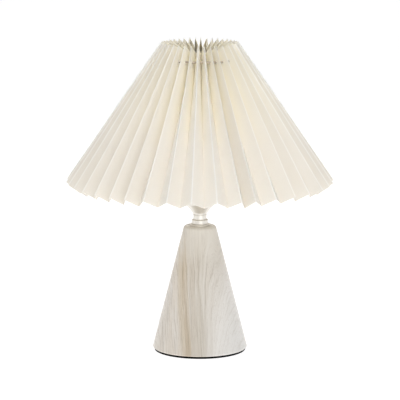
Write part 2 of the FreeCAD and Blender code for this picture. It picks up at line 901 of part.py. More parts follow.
MAKERS = (
    footPad, baseCone, cordGrommet, underside, threadedRod, neck, lampholderCup, holderCap,
    grubScrew, holderSkirt, screwShell, terminals, centreContact, fitterRing, shadeNut, topRing,
    frameArms, pleatedShade, bulb,
)

pieces = []
for maker in MAKERS:
    pieces += maker()
doc.recompute()

for thing in doc.Objects:
    bad = [state for state in thing.State if state in ("Invalid", "Error")]
    assert not bad, "%s: %s" % (thing.Label, bad)
for piece in pieces:
    assert not piece.Shape.isNull(), piece.Label
    assert piece.Shape.isValid(), piece.Label

os.makedirs("parts", exist_ok=True)
for piece in pieces:
    piece.Shape.exportStep(os.path.join("parts", piece.Label + ".step"))
    print("%-20s solids %d faces %4d volume %10.1f mm3" % (
        piece.Label, len(piece.Shape.Solids), len(piece.Shape.Faces), piece.Shape.Volume
    ))
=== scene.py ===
import math

import bmesh
import bpy
from mathutils import Matrix, Vector


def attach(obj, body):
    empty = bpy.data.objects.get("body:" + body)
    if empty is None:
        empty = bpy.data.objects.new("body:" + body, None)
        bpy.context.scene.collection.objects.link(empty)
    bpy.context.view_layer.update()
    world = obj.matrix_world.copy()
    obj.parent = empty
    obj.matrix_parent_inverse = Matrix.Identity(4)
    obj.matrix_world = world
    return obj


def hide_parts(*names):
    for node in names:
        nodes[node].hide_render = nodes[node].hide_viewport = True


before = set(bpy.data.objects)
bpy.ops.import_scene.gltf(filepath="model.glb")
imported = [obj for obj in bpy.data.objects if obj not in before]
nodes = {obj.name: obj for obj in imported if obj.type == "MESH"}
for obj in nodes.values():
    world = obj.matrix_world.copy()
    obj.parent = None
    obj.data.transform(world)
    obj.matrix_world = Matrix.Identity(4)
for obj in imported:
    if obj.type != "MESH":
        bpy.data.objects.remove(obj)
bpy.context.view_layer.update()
scene = bpy.context.scene
perMetre = 1000.0             # millimetres, which the turned outlines, threads and wood layers are in
doubleGap = 1e-7              # metres; points nearer than this are one
print("loaded", len(nodes), "nodes")


class Wire:
    # one float of a node tree; each sign written between two of them adds a Math node
    def __init__(self, tree, socket):
        self.tree = tree
        self.socket = socket

    def worked(self, operation, *others):
        node = self.tree.nodes.new("ShaderNodeMath")
        node.operation = operation
        for slot, value in zip(node.inputs, (self,) + others):
            plug(self.tree, slot, value)
        return Wire(self.tree, node.outputs[0])

    def __add__(self, other):
        return self.worked("ADD", other)

    def __radd__(self, other):
        return self.worked("ADD", other)

    def __sub__(self, other):
        return self.worked("SUBTRACT", other)

    def __rsub__(self, other):
        return self.worked("MULTIPLY", -1.0).worked("ADD", other)

    def __mul__(self, other):
        return self.worked("MULTIPLY", other)

    def __rmul__(self, other):
        return self.worked("MULTIPLY", other)

    def __truediv__(self, other):
        return self.worked("DIVIDE", other)


def plug(tree, slot, value):
    # puts a number, a colour, a socket or a Wire into a socket
    if isinstance(value, Wire):
        tree.links.new(value.socket, slot)
    elif isinstance(value, bpy.types.NodeSocket):
        tree.links.new(value, slot)
    else:
        slot.default_value = value


def fill(tree, node, values):
    # the same for several of a node's inputs, by their names
    for name, value in values.items():
        plug(tree, node.inputs[name], value)


def between(low, high, share):
    return low + (high - low) * share


def vectorOf(tree, x, y, z):
    node = tree.nodes.new("ShaderNodeCombineXYZ")
    for slot, value in zip(node.inputs, (x, y, z)):
        plug(tree, slot, value)
    return node.outputs[0]


def addPiece(name, mesh, body, node, material):
    # a finished piece that stands in for one CAD node
    piece = bpy.data.objects.new(name, mesh)
    scene.collection.objects.link(piece)
    mesh.materials.clear()
    mesh.materials.append(material)
    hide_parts(node)
    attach(piece, body)
    return piece


def turnBetween(first, last):
    # the angle from one flat vector to another, to the left
    return math.atan2(first.x * last.y - first.y * last.x, first.dot(last))


def arcCorners(start, end, radius, steps=10):
    # corners along an arc from start to end; a positive radius keeps its centre on the left
    a, b = Vector(start), Vector(end)
    way = b - a
    across = Vector((-way.y, way.x)).normalized() * (1 if radius > 0 else -1)
    centre = (a + b) / 2 + across * math.sqrt(radius * radius - way.length_squared / 4)
    first, last = a - centre, b - centre
    turn = turnBetween(first, last)
    begin = math.atan2(first.y, first.x)
    return [(centre.x + abs(radius) * math.cos(begin + turn * k / steps),
             centre.y + abs(radius) * math.sin(begin + turn * k / steps), 0) for k in range(steps + 1)]


turning = {
    "sides": 128,
    "easeSteps": 4,           # faces round an eased edge
    "easeShare": 0.45,        # of the shorter side that an edge's rounding may take up at most
    "rimShare": 0.12,         # of the rounding, for a strip beside it that keeps the flat's shading flat
    "threadRows": 8,          # rows of points to a turn of thread
    "axisWidth": 0.0001,      # mm from the axis within which a point is on it
    "coreWidth": 0.1,         # mm from the axis within which a run isn't cut up for a thread
    "sharp": 38,              # degrees from which an edge stays sharp
}


def easedCorners(corners):
    # a closed outline of (radius, height, rounding) corners, in millimetres, as points along it
    steps = turning["easeSteps"]
    points = []
    for i, (r, z, ease) in enumerate(corners):
        here = Vector((r, z))
        back = Vector(corners[i - 1][:2]) - here
        on = Vector(corners[(i + 1) % len(corners)][:2]) - here
        if ease <= 0:
            points.append(here)
            continue
        half = back.angle(on) / 2
        most = turning["easeShare"]
        reach = min(ease / math.tan(half), back.length * most, on.length * most)
        back.normalize()
        on.normalize()
        start, stop = here + back * reach, here + on * reach
        centre = here + (back + on).normalized() * (reach / math.cos(half))
        first, last = start - centre, stop - centre
        sweep = turnBetween(first, last)
        points.append(start + back * reach * turning["rimShare"])
        for k in range(steps + 1):
            turn = first.copy()
            turn.rotate(Matrix.Rotation(sweep * k / steps, 2))
            points.append(centre + turn)
        points.append(stop + on * reach * turning["rimShare"])
    return points


def lathe(name, corners, thread=None):
    # turns a closed outline of corners about the lamp's axis
    sides = turning["sides"]
    points = easedCorners(corners)
    if thread:
        points = denserPoints(points, thread["pitch"] / turning["threadRows"])
    bm = bmesh.new()
    rings = []
    for point in points:
        z = point.y / perMetre
        if point.x < turning["axisWidth"]:
            rings.append([bm.verts.new((0, 0, z))])
            continue
        ring = []
        for k in range(sides):
            turn = 2 * math.pi * k / sides
            r = (point.x - threadDepth(thread, point, k / sides)) / perMetre
            ring.append(bm.verts.new((r * math.cos(turn), r * math.sin(turn), z)))
        rings.append(ring)
    for i, one in enumerate(rings):
        two = rings[(i + 1) % len(rings)]
        if len(one) == 1 and len(two) == 1:
            continue
        for k in range(sides):
            n = (k + 1) % sides
            corner = [one[k % len(one)], one[n % len(one)], two[n % len(two)], two[k % len(two)]]
            bm.faces.new(list(dict.fromkeys(corner)))
    return finishedMesh(name, bm)


def denserPoints(points, step):
    # more points along the outline's long runs, so that a thread can be pressed into them
    dense = []
    for i, here in enumerate(points):
        after = points[(i + 1) % len(points)]
        parts = 1
        if min(here.x, after.x) > turning["coreWidth"]:
            parts = max(1, int((after - here).length / step))
        dense += [here.lerp(after, k / parts) for k in range(parts)]
    return dense


def threadDepth(thread, point, share):
    # how far a rolled thread lies below its crest, here on the outline and this far round
    if not thread or not thread["low"] < point.y < thread["high"] or point.x < thread["inside"]:
        return 0
    pitch = thread["pitch"]
    # it runs out over one pitch at both ends
    fade = min(1, (point.y - thread["low"]) / pitch, (thread["high"] - point.y) / pitch)
    wave = 0.5 - 0.5 * math.cos(2 * math.pi * (point.y / pitch - share))
    return thread["depth"] * fade * wave


def finishedMesh(name, bm):
    bmesh.ops.remove_doubles(bm, verts=bm.verts, dist=doubleGap)
    bmesh.ops.recalc_face_normals(bm, faces=bm.faces)
    mesh = bpy.data.meshes.new(name)
    bm.to_mesh(mesh)
    bm.free()
    mesh.shade_smooth()
    mesh.set_sharp_from_angle(angle=math.radians(turning["sharp"]))
    return mesh


def appliedMesh(name, start, modifiers):
    # puts modifiers on a mesh and keeps the plain mesh that comes out
    holder = bpy.data.objects.new(name + "Work", start)
    scene.collection.objects.link(holder)
    for kind, settings in modifiers:
        work = holder.modifiers.new(kind, kind)
        if kind == "NODES":
            tree = settings["tree"]
            work.node_group = tree
            for item in tree.interface.items_tree:
                if item.item_type == "SOCKET" and item.in_out == "INPUT" and item.name in settings:
                    work[item.identifier] = settings[item.name]
        else:
            for key, value in settings.items():
                setattr(work, key, value)
    bpy.context.view_layer.update()
    graph = bpy.context.evaluated_depsgraph_get()
    mesh = bpy.data.meshes.new_from_object(holder.evaluated_get(graph))
    mesh.name = name
    bpy.data.objects.remove(holder)
    return mesh


def startTree(name, numbers, geometry):
    # an empty geometry tree with its named inputs
    tree = bpy.data.node_groups.new(name, "GeometryNodeTree")
    kinds = {geometry: "Geometry"}
    kinds.update((number, "Float") for number in numbers)
    kinds.update({"Seed": "Int", "Finish": "Material"})
    for given, kind in kinds.items():
        tree.interface.new_socket(given, in_out="INPUT", socket_type="NodeSocket" + kind)
    tree.interface.new_socket("Made", in_out="OUTPUT", socket_type="NodeSocketGeometry")
    return tree, tree.nodes.new("NodeGroupInput"), tree.nodes.new("NodeGroupOutput")


def endTree(tree, enter, leave, geometry):
    # real geometry with its material, because instances don't outlast the export
    real = tree.nodes.new("GeometryNodeRealizeInstances")
    tree.links.new(geometry, real.inputs[0])
    coat = tree.nodes.new("GeometryNodeSetMaterial")
    tree.links.new(real.outputs[0], coat.inputs["Geometry"])
    tree.links.new(enter.outputs["Finish"], coat.inputs["Material"])
    tree.links.new(coat.outputs[0], leave.inputs["Made"])


def storedNumber(tree, name):
    node = tree.nodes.new("GeometryNodeInputNamedAttribute")
    node.data_type = "FLOAT"
    node.inputs["Name"].default_value = name
    return Wire(tree, node.outputs["Attribute"])


def newMaterial(name):
    material = bpy.data.materials.new(name)
    material.use_nodes = True
    tree = material.node_tree
    shader = tree.nodes["Principled BSDF"]
    place = tree.nodes.new("ShaderNodeTexCoord").outputs["Object"]
    return material, tree, shader, place


def stretched(tree, place, scale):
    node = tree.nodes.new("ShaderNodeMapping")
    node.inputs["Scale"].default_value = scale
    tree.links.new(place, node.inputs["Vector"])
    return node.outputs[0]


def noise(tree, place, scale, detail=3, rough=0.5, distortion=0.0):
    node = tree.nodes.new("ShaderNodeTexNoise")
    fill(tree, node, {"Vector": place, "Scale": scale, "Detail": detail, "Roughness": rough,
                      "Distortion": distortion})
    return node.outputs[0]


def ramp(tree, share, stops):
    node = tree.nodes.new("ShaderNodeValToRGB")
    marks = node.color_ramp.elements
    while len(marks) < len(stops):
        marks.new(1)
    for mark, (position, colour) in zip(marks, stops):
        mark.position = position
        mark.color = (*colour, 1)
    plug(tree, node.inputs[0], share)
    return node.outputs[0]


def twoTone(tree, share, span, one, two):
    # goes from one colour to the other over a span of the share, such as a noise's middle
    return ramp(tree, share, ((span[0], one), (span[1], two)))


def mixed(tree, share, one, two, kind="MIX"):
    node = tree.nodes.new("ShaderNodeMix")
    node.data_type = "RGBA"
    node.blend_type = kind
    plug(tree, node.inputs[0], share)
    for slot, value in zip((node.inputs[6], node.inputs[7]), (one, two)):
        plug(tree, slot, (*value, 1) if isinstance(value, tuple) else value)
    return node.outputs[2]


def spread(tree, value, low, high, outLow=0.0, outHigh=1.0):
    # maps low..high to outLow..outHigh, and holds at both ends
    node = tree.nodes.new("ShaderNodeMapRange")
    node.clamp = True
    plug(tree, node.inputs[0], value)
    for slot, number in zip(node.inputs[1:5], (low, high, outLow, outHigh)):
        slot.default_value = number
    return Wire(tree, node.outputs[0])


def bumped(tree, shader, height, depth, strength=1.0):
    node = tree.nodes.new("ShaderNodeBump")
    fill(tree, node, {"Distance": depth, "Strength": strength, "Height": height})
    tree.links.new(node.outputs[0], shader.inputs["Normal"])


finishes = {
    # two colours in patches, patches and grains per metre, roughness from and to, bump in metres
    "footFoam": dict(colour=(0.003, 0.003, 0.003), other=(0.007, 0.0065, 0.0065), patch=300, grain=1500,
                     rough=(0.8, 0.95), bump=0.00025, shine=0.05),
    "zincSteel": dict(colour=(0.50, 0.50, 0.50), other=(0.36, 0.36, 0.37), patch=160, grain=900,
                      rough=(0.28, 0.48), bump=0.00003, metal=1.0),
    "whiteLacquer": dict(colour=(0.78, 0.76, 0.71), other=(0.72, 0.70, 0.65), patch=60, grain=700,
                         rough=(0.28, 0.4), bump=0.00004),
    "ringWire": dict(colour=(0.60, 0.53, 0.44), other=(0.47, 0.40, 0.32), patch=120, grain=1400,
                     rough=(0.38, 0.6), bump=0.00004, metal=0.35),
    "holderPlastic": dict(colour=(0.80, 0.79, 0.75), other=(0.76, 0.75, 0.71), patch=45, grain=1600,
                          rough=(0.26, 0.4), bump=0.00002),
    "insertCeramic": dict(colour=(0.72, 0.69, 0.63), other=(0.60, 0.57, 0.52), patch=220, grain=1800,
                          rough=(0.6, 0.85), bump=0.00006),
    "brassParts": dict(colour=(0.62, 0.42, 0.15), other=(0.44, 0.28, 0.09), patch=190, grain=1100,
                       rough=(0.24, 0.45), bump=0.00003, metal=1.0),
    "grommetPlastic": dict(colour=(0.010, 0.010, 0.010), other=(0.018, 0.018, 0.018), patch=120, grain=2100,
                           rough=(0.45, 0.62), bump=0.00004),
    "opalPlastic": dict(colour=(0.84, 0.83, 0.80), other=(0.80, 0.79, 0.76), patch=25, grain=1200,
                        rough=(0.42, 0.5), bump=0.00001, through=0.3),
    "bulbPlastic": dict(colour=(0.80, 0.80, 0.79), other=(0.76, 0.76, 0.75), patch=50, grain=1500,
                        rough=(0.3, 0.4), bump=0.00002),
    "capMetal": dict(colour=(0.58, 0.56, 0.52), other=(0.45, 0.43, 0.40), patch=150, grain=1000,
                     rough=(0.2, 0.38), bump=0.00003, metal=1.0),
    "capGlass": dict(colour=(0.008, 0.008, 0.010), other=(0.016, 0.014, 0.018), patch=260, grain=600,
                     rough=(0.05, 0.16), bump=0.00005),
}
plainLook = {
    # what every plain finish has unless it says otherwise
    "metal": 0.0,
    "shine": 0.5,
    "through": 0.0,            # share of the light that goes in
    "reach": (0.004, 0.004, 0.0035),    # metres that it spreads there, if it does
    "patchShare": 0.7,
    "grainShare": 0.3,
    "colourSpan": (0.36, 0.64),
    "roughSpan": (0.35, 0.65),
}


def plainFinish(name):
    look = {**plainLook, **finishes[name]}
    material, tree, shader, place = newMaterial(name)
    patch = noise(tree, place, look["patch"], detail=4, rough=0.6, distortion=0.4)
    grain = noise(tree, place, look["grain"], detail=2)
    both = Wire(tree, patch) * look["patchShare"] + Wire(tree, grain) * look["grainShare"]
    fill(tree, shader, {
        "Base Color": twoTone(tree, both, look["colourSpan"], look["colour"], look["other"]),
        "Roughness": spread(tree, both, *look["roughSpan"], *look["rough"]),
        "Metallic": look["metal"],
        "Specular IOR Level": look["shine"],
        "Subsurface Weight": look["through"],
        "Subsurface Radius": look["reach"],
        "Subsurface Scale": 1.0,
    })
    bumped(tree, shader, grain, look["bump"])
    return material


paperLook = {
    "ivory": (0.868, 0.831, 0.768),
    "cloudy": (0.852, 0.813, 0.746),
    "clouds": 35,             # per metre, as the fibre
    "cloudShare": 0.55,
    "fibre": 900,
    "fibreShare": 0.45,
    "fibreStretch": (1, 1, 0.35),
    "fibreDepth": 0.00005,
    "mixSpan": (0.35, 0.65),
    "upper": (0.90, 0.855, 0.745),   # painted warmth towards the top, the colour light takes on bouncing in the deep folds there
    "upperFrom": 0.35,        # of the way up, where the painted warmth starts
    "inner": (0.90, 0.845, 0.69),    # painted shade, darker and yellower down in the folds there
    "innerFrom": 0.25,        # of the way in, where the painted fold shade starts
    # paler along the outer folds: partly the whitened paper of a pressed crease, partly a painted highlight
    # of the light the ridges catch
    "crease": (0.98, 0.965, 0.92),
    "creaseWidth": 0.065,     # of a panel's width
    "rough": (0.72, 0.86),
    "roughSpan": (0.3, 0.7),
    "shine": 0.25,
    "through": 0.75,          # share of the light that goes into the sheet
    "reach": (0.0005, 0.0005, 0.0005),    # metres that it spreads there
}


def paperMaterial():
    look = paperLook
    material, tree, shader, place = newMaterial("pleatedPaper")

    def stored(name):
        node = tree.nodes.new("ShaderNodeAttribute")
        node.attribute_name = name
        return node.outputs["Fac"]

    cloud = noise(tree, place, look["clouds"], rough=0.6)
    pulled = stretched(tree, place, look["fibreStretch"])
    fibre = noise(tree, pulled, look["fibre"], rough=0.6, distortion=0.6)
    both = Wire(tree, cloud) * look["cloudShare"] + Wire(tree, fibre) * look["fibreShare"]
    body = twoTone(tree, both, look["mixSpan"], look["ivory"], look["cloudy"])
    across, along = stored("acrossPanel"), stored("alongFold")
    # painted light: warmer paper towards the top, and painted shade down in the folds there
    rise = spread(tree, along, look["upperFrom"], 1.0)
    body = mixed(tree, rise, body, look["upper"])
    body = mixed(tree, rise * spread(tree, across, look["innerFrom"], 1.0), body, look["inner"])
    # the outer folds get the painted highlight and crease whitening
    fold = spread(tree, across, 0.0, look["creaseWidth"], 1.0, 0.0)
    fill(tree, shader, {
        "Base Color": mixed(tree, fold, body, look["crease"]),
        "Roughness": spread(tree, fibre, *look["roughSpan"], *look["rough"]),
        "Specular IOR Level": look["shine"],
        "Subsurface Weight": look["through"],
        "Subsurface Radius": look["reach"],
        "Subsurface Scale": 1.0,
    })
    bumped(tree, shader, fibre, look["fibreDepth"])
    return material


woodLook = {
    "lean": 0.048,             # how far the left streaks lean to the left for each mm up
    "leanHeight": 90.0,        # mm up, where the tones stand as given
    "sweep": (0.934, -0.351, -0.057, -13.0),    # the tilted layers on the right: x, y, z, offset in mm
    "sweepFrom": (2.0, 24.0),  # mm to the right of the axis between which they take over
    "tones": (                 # across the front, at mm to the right of the axis; the dark streaks are the wood's own, the paler ends on the left and right are partly painted sheen of the cone's sides
        (-60, (0.93, 0.87, 0.79)),
        (-31, (0.88, 0.81, 0.72)),
        (-28, (0.80, 0.715, 0.59)),
        (-23, (0.70, 0.60, 0.465)),
        (-17.5, (0.68, 0.585, 0.455)),
        (-16.3, (0.745, 0.68, 0.59)),
        (2, (0.715, 0.66, 0.575)),
        (14, (0.82, 0.775, 0.71)),
        (26, (0.935, 0.905, 0.86)),
        (60, (0.94, 0.93, 0.91)),
    ),
    "grain": (0.68, 0.64, 0.59),    # multiplies the tone
    "lightGrain": (0.94, 0.915, 0.875),
    # painted light: the shoulder that lies in the shade's shadow is made paler towards the top
    "paintedTopLight": (0.95, 0.915, 0.84),
    "topSpan": (120.0, 166.0),  # mm up, between which the painted light on the shoulder comes on
    "topMost": 0.6,
    # the layers wander: so far, in mm from one extreme to the other, in patches of such a size per metre
    "drift": dict(stretch=(1, 1, 0.35), size=22, detail=2, rough=0.5, far=7.0),
    "wander": dict(stretch=(1, 1, 0.25), size=75, detail=3, rough=0.55, far=3.5),
    # lines that follow the layers: how fast each changes across them, towards the rear and up, per mm
    "fine": dict(pace=(0.9, 0.05, 0.012), detail=5, rough=0.62, span=(0.48, 0.72)),
    "broad": dict(pace=(0.26, 0.03, 0.008), detail=3, rough=0.5, span=(0.50, 0.68), most=0.45),
    "pore": dict(pace=(2.6, 0.6, 0.05), detail=2, rough=0.6, span=(0.56, 0.72), most=0.5),
    "sweepFade": 0.6,          # how much weaker the fine lines are where the tilted layers lie
    "rough": (0.36, 0.5),
    "roughSpan": (0.35, 0.7),
    "coat": 0.3,
    "coatRough": 0.25,
    "poreDepth": 0.00005,
    "poreStrength": 0.6,
}


def woodMaterial():
    look = woodLook
    material, tree, shader, place = newMaterial("washedWood")
    parts = tree.nodes.new("ShaderNodeSeparateXYZ")
    tree.links.new(place, parts.inputs[0])
    x, y, z = (Wire(tree, parts.outputs[i]) * perMetre for i in range(3))

    def wandering(part):
        spot = stretched(tree, place, part["stretch"])
        drawn = noise(tree, spot, part["size"], part["detail"], part["rough"])
        return (Wire(tree, drawn) - 0.5) * part["far"]

    def lined(part):
        spot = vectorOf(tree, *(way * pace for way, pace in zip((layer, y, z), part["pace"])))
        return noise(tree, spot, 1.0, part["detail"], part["rough"])

    shift = wandering(look["drift"]) + wandering(look["wander"])
    upright = x + (z - look["leanHeight"]) * look["lean"]
    ax, ay, az, offset = look["sweep"]
    tilted = x * ax + y * ay + z * az + offset
    share = spread(tree, x, *look["sweepFrom"])
    layer = between(upright, tilted, share) + shift
    low, high = look["tones"][0][0], look["tones"][-1][0]
    tone = ramp(tree, spread(tree, layer, low, high),
                [((spot - low) / (high - low), colour) for spot, colour in look["tones"]])
    fine, broad, pore = (lined(look[name]) for name in ("fine", "broad", "pore"))
    pale = spread(tree, broad, *look["broad"]["span"], 0.0, look["broad"]["most"])
    lines = spread(tree, fine, *look["fine"]["span"]) * (1.0 - share * look["sweepFade"])
    pores = spread(tree, pore, *look["pore"]["span"], 0.0, look["pore"]["most"])
    # painted light, paler towards the top of the cone
    topLightShare = spread(tree, z, *look["topSpan"], 0.0, look["topMost"])
    colour = mixed(tree, pale, tone, look["lightGrain"])
    colour = mixed(tree, lines, colour, look["grain"], "MULTIPLY")
    colour = mixed(tree, pores, colour, look["grain"], "MULTIPLY")
    colour = mixed(tree, topLightShare, colour, look["paintedTopLight"])
    fill(tree, shader, {
        "Base Color": colour,
        "Roughness": spread(tree, fine, *look["roughSpan"], *look["rough"]),
        "Coat Weight": look["coat"],
        "Coat Roughness": look["coatRough"],
    })
    bumped(tree, shader, pore, look["poreDepth"], look["poreStrength"])
    return material


nickelLook = {
    "warm": (0.88, 0.85, 0.79),
    "dull": (0.84, 0.805, 0.745),
    "smears": 60,             # per metre
    "lines": 420,             # turning marks, per metre
    "linesStretch": (0.2, 0.2, 9.0),
    "lineDepth": 0.000004,
    "rough": (0.38, 0.48),
    "span": (0.3, 0.7),
}


def nickelMaterial():
    look = nickelLook
    material, tree, shader, place = newMaterial("polishedNickel")
    turned = noise(tree, stretched(tree, place, look["linesStretch"]), look["lines"], detail=2)
    smear = noise(tree, place, look["smears"])
    fill(tree, shader, {
        "Base Color": twoTone(tree, smear, look["span"], look["warm"], look["dull"]),
        "Metallic": 1.0,
        "Roughness": spread(tree, turned, *look["span"], *look["rough"]),
    })
    bumped(tree, shader, turned, look["lineDepth"])
    return material


paper = paperMaterial()
wood = woodMaterial()
nickel = nickelMaterial()
plain = {name: plainFinish(name) for name in finishes}
print("mixed", len(plain) + 3, "materials")


shadeLook = {
    # metres
    "lowRadius": 0.1808,
    "lowHeight": 0.2333,
    "highRadius": 0.0521,
    "highHeight": 0.4208,
    "panelWidth": 0.0217,
    "paper": 0.0005,
    "columns": (0.0, 0.03, 0.14, 0.32, 0.5, 0.68, 0.86, 0.97, 1.0),    # across a panel
    "rows": 28,               # of faces from foot to top
    "bow": 0.0007,            # how far a panel may stand off its flat
    "waver": 0.0005,
    "waverPace": (7.3, 3.0, 1.2),    # how it changes from panel to panel, up a fold and across a panel
    "lapGap": 0.0006,         # the last panel stands off the first one, that it is glued to
    "hidden": 2,              # the first panel starts at this column, under the lap
    "seed": 11,
    "ringRadius": 0.054,
    "ringHeight": 0.3994,
    "holeRadius": 0.0016,
    "holeSides": 14,
    "holeShare": 0.8,         # of the way from fold to fold along the ring that its punch reaches
    "sharp": 12,              # degrees; the folds stay sharp and the panels' bow is smooth
    "seamFold": 25,           # the strip starts and ends here, at the rear
    "folds": (                # degrees round from the right at the foot and at the top; -90 is the front
        (-139.6, -141.5), (-130.6, -131.8), (-122.7, -122.7), (-113.9, -113.0), (-103.8, -102.6),
        (-93.5, -92.6), (-82.8, -83.7), (-72.6, -74.4), (-66.4, -65.6), (-56.8, -54.8),
        (-46.5, -43.5), (-37.3, -34.5), (-26.0, -25.0), (-17.0, -16.0), (-8.3, -7.4),
        (0.7, 1.4), (10.1, 10.4), (18.1, 18.7), (27.0, 27.4), (35.9, 36.2),
        (44.0, 44.5), (53.4, 53.5), (62.3, 62.3), (71.4, 71.1), (79.1, 79.2),
        (88.2, 88.1), (96.6, 96.6), (106.6, 105.8), (115.2, 114.4), (122.9, 122.6),
        (133.2, 132.0), (142.0, 140.7), (150.3, 149.1), (159.0, 157.8), (167.1, 166.1),
        (175.7, 174.7), (185.3, 183.8), (193.3, 192.1), (202.3, 200.9), (211.2, 209.6),
    ),
}


def foldAngles(extra):
    # the low and high azimuths of the outer folds in turn from the seam, and some more round again
    folds = [(math.radians(low), math.radians(high)) for low, high in shadeLook["folds"]]
    turned = []
    for k in range(len(folds) + extra):
        rounds, fold = divmod(shadeLook["seamFold"] + k, len(folds))
        turned.append(tuple(angle + 2 * math.pi * rounds for angle in folds[fold]))
    return turned


def flatStrip():
    # the paper as cut: one long strip, each point knowing its panel and the folds either side
    look = shadeLook
    folds = foldAngles(2)
    last = 2 * len(look["folds"])    # the panel that laps over the first one
    length = math.hypot(look["lowRadius"] - look["highRadius"], look["highHeight"] - look["lowHeight"])
    points = []
    values = {name: [] for name in ("acrossPanel", "alongFold", "hereLow", "hereHigh",
                                    "nextLow", "nextHigh", "lap", "panel")}
    tall = look["rows"] + 1
    for panel in range(last + 1):
        outward = panel % 2 == 0
        here = folds[(panel + 1) // 2]
        after = folds[panel // 2 + 1] if outward else folds[panel // 2]
        for share in look["columns"][1 if panel else look["hidden"]:]:
            across = share if outward else 1 - share
            lap = min(1, share / look["columns"][look["hidden"]]) if panel == last else 0
            for row in range(tall):
                along = row / look["rows"]
                points.append(((panel + share) * look["panelWidth"], along * length, 0))
                numbers = (across, along, here[0], here[1], after[0], after[1], lap, panel % last)
                for name, number in zip(values, numbers):
                    values[name].append(number)
    faces = []
    for start in range(0, len(points) - tall, tall):
        for row in range(start, start + look["rows"]):
            faces.append((row, row + tall, row + tall + 1, row + 1))
    mesh = bpy.data.meshes.new("paperStrip")
    mesh.from_pydata(points, [], faces)
    for name, numbers in values.items():
        mesh.attributes.new(name, "FLOAT", "POINT").data.foreach_set("value", numbers)
    return mesh


def foldingTree():
    # folds the strip: each panel keeps its width, so the inner folds lie deep where the shade is narrow
    tree, enter, leave = startTree("foldPaper", (
        "Low Radius", "Low Height", "High Radius", "High Height", "Panel Width", "Bow", "Waver", "Lap Gap",
    ), "Strip")

    def given(name):
        return Wire(tree, enter.outputs[name])

    def stored(name):
        return storedNumber(tree, name)

    along, across = stored("alongFold"), stored("acrossPanel")
    here = between(stored("hereLow"), stored("hereHigh"), along)
    after = between(stored("nextLow"), stored("nextHigh"), along)
    half = (after - here) * 0.5
    run = given("Low Radius") - given("High Radius")
    rise = given("High Height") - given("Low Height")
    slant = (run * run + rise * rise).worked("SQRT")
    inward, down = rise / slant, run / slant
    radius = between(given("Low Radius"), given("High Radius"), along)
    height = between(given("Low Height"), given("High Height"), along)
    # the inner fold's depth d comes from (radius h - d inward h)^2 + d^2 = width^2
    h = half.worked("ABSOLUTE").worked("TANGENT")
    a = inward * h
    a = a * a + 1.0
    b = radius * h * h * inward
    c = radius * h
    c = c * c - given("Panel Width") * given("Panel Width")
    depth = (b + (b * b - a * c).worked("SQRT")) / a
    # the two folds that this panel hangs between
    outX, outY = radius * here.worked("COSINE"), radius * here.worked("SINE")
    middle = here + half
    inRadius = (radius - depth * inward) / half.worked("COSINE")
    inX, inY = inRadius * middle.worked("COSINE"), inRadius * middle.worked("SINE")
    inHeight = height - depth * down
    x = between(outX, inX, across)
    y = between(outY, inY, across)
    z = between(height, inHeight, across)
    # each panel bows a little, and the paper wavers along it
    chance = tree.nodes.new("FunctionNodeRandomValue")
    chance.data_type = "FLOAT"
    chance.inputs[2].default_value = -1.0
    chance.inputs[3].default_value = 1.0
    fill(tree, chance, {"ID": stored("panel"), "Seed": enter.outputs["Seed"]})
    spot = [way * pace for way, pace in zip((stored("panel"), along, across), shadeLook["waverPace"])]
    wave = noise(tree, vectorOf(tree, *spot), 1.0, detail=1.0)
    belly = across * (1.0 - across) * 4.0    # one in the middle of a panel and nothing at its folds
    bow = Wire(tree, chance.outputs[1]) * given("Bow")
    waver = (Wire(tree, wave) - 0.5) * given("Waver") * 2.0
    push = (bow + waver) * belly + stored("lap") * given("Lap Gap")
    # the push is level and, seen from above, square to the panel: near enough for such small moves
    sideX, sideY = inX - outX, inY - outY
    span = (sideX * sideX + sideY * sideY).worked("SQRT")
    way = half.worked("SIGN")
    x = x + sideY / span * push * way
    y = y - sideX / span * push * way
    move = tree.nodes.new("GeometryNodeSetPosition")
    tree.links.new(enter.outputs["Strip"], move.inputs["Geometry"])
    plug(tree, move.inputs["Position"], vectorOf(tree, x, y, z))
    endTree(tree, enter, leave, move.outputs[0])
    return tree


def holeSpots():
    # one point for each hollow, knowing its azimuth at the ring and how far it is between its folds
    look = shadeLook
    share = (look["ringHeight"] - look["lowHeight"]) / (look["highHeight"] - look["lowHeight"])
    turns = [low + (high - low) * share for low, high in foldAngles(1)]
    mesh = bpy.data.meshes.new("holeSpots")
    mesh.from_pydata([(0, 0, 0)] * (len(turns) - 1), [], [])
    middles = [(a + b) / 2 for a, b in zip(turns, turns[1:])]
    spans = [(b - a) * look["ringRadius"] * look["holeShare"] for a, b in zip(turns, turns[1:])]
    mesh.attributes.new("turn", "FLOAT", "POINT").data.foreach_set("value", middles)
    mesh.attributes.new("span", "FLOAT", "POINT").data.foreach_set("value", spans)
    return mesh


def punchTree():
    # a short round bar along the ring in every hollow, to punch the ring's holes with
    tree, enter, leave = startTree("ringHoles", ("Ring Radius", "Ring Height", "Hole Radius"), "Spots")
    turn = storedNumber(tree, "turn")
    radius = Wire(tree, enter.outputs["Ring Radius"])
    move = tree.nodes.new("GeometryNodeSetPosition")
    tree.links.new(enter.outputs["Spots"], move.inputs["Geometry"])
    x, y = radius * turn.worked("COSINE"), radius * turn.worked("SINE")
    plug(tree, move.inputs["Position"], vectorOf(tree, x, y, enter.outputs["Ring Height"]))
    bar = tree.nodes.new("GeometryNodeMeshCylinder")
    fill(tree, bar, {
        "Vertices": shadeLook["holeSides"],
        "Radius": enter.outputs["Hole Radius"],
        "Depth": 1.0,         # its instances are stretched to their spans
    })
    put = tree.nodes.new("GeometryNodeInstanceOnPoints")
    fill(tree, put, {
        "Points": move.outputs[0],
        "Instance": bar.outputs["Mesh"],
        "Rotation": vectorOf(tree, math.pi / 2, 0.0, turn),
        "Scale": vectorOf(tree, 1.0, 1.0, storedNumber(tree, "span")),
    })
    endTree(tree, enter, leave, put.outputs[0])
    return tree


